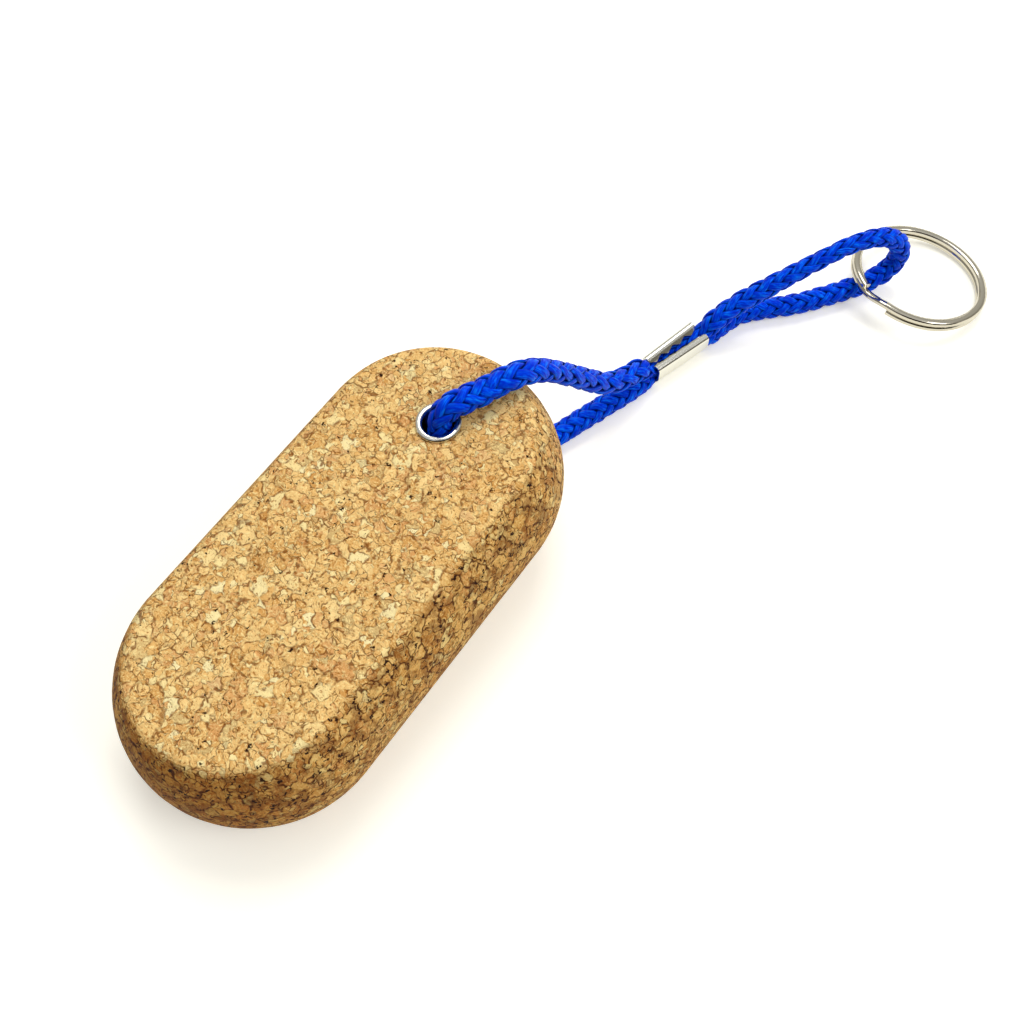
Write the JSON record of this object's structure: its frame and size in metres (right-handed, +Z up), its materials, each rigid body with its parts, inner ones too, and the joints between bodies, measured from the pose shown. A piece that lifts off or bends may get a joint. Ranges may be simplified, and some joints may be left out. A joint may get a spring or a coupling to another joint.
{
  "type": "floating keychain",
  "caption": "Oval cork float on a braided cord loop, gathered by a toothed metal clasp, with a split ring for keys.",
  "frame": {"origin": "under the middle of the cork float, at the table it lies on", "axes": "+Y along the float towards its cord hole, the cord and the ring; +Z up from the table; +X to the right seen from above with +Y away"},
  "size_m": [0.0914, 0.209, 0.0402],
  "materials": {
    "cork": "matte bonded cork granules, cut faces",
    "nickel_plate": "bright nickel plate on thin sheet",
    "blue_braid": "royal blue coarse braided synthetic cord",
    "ring_steel": "polished plated spring steel wire"
  },
  "bodies": {
    "float_and_cord": {"cork_float": "cork", "eyelet_top": "nickel_plate", "eyelet_bottom": "nickel_plate", "cord": "blue_braid", "clasp": "nickel_plate"},
    "ring": {"split_ring": "ring_steel"}
  },
  "joints": [
    {"name": "ring_swing", "type": "hinge", "parent": "float_and_cord", "child": "ring", "pos_m": [0.03855, 0.1313, 0.00527], "axis": [0.6709, -0.7406, 0.0375], "range_deg": [0, 90]}
  ]
}
